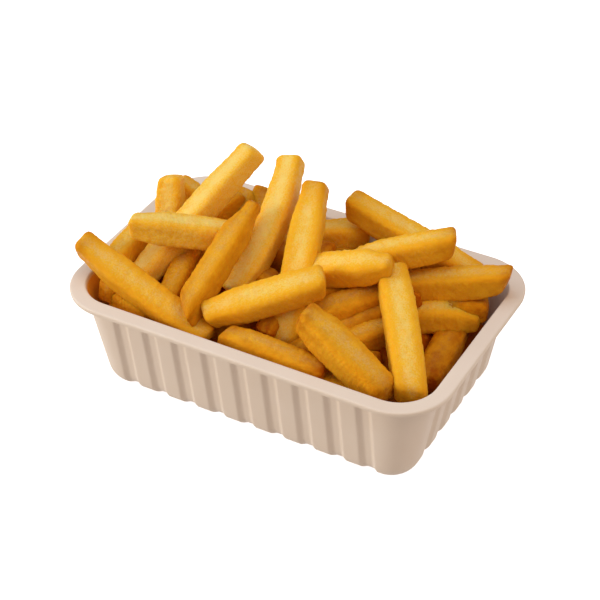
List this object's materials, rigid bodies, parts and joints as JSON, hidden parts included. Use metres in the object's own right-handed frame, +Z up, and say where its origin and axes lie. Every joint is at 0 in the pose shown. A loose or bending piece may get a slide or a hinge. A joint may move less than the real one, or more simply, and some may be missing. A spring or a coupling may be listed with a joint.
{
  "type": "tray of french fries",
  "caption": "Heap of thick-cut french fries in a low rectangular tray with ribbed walls, rounded corners and a flat rim.",
  "frame": {"origin": "middle of the tray's flat base, on the surface it stands on", "axes": "+X along the tray's long side, +Z up, the front is -Y"},
  "size_m": [0.17, 0.108, 0.0829],
  "materials": {
    "tray": "satin",
    "fries": "satin, slightly oily"
  },
  "bodies": {
    "root": {"tray": "tray", "fries": "fries"}
  },
  "joints": []
}
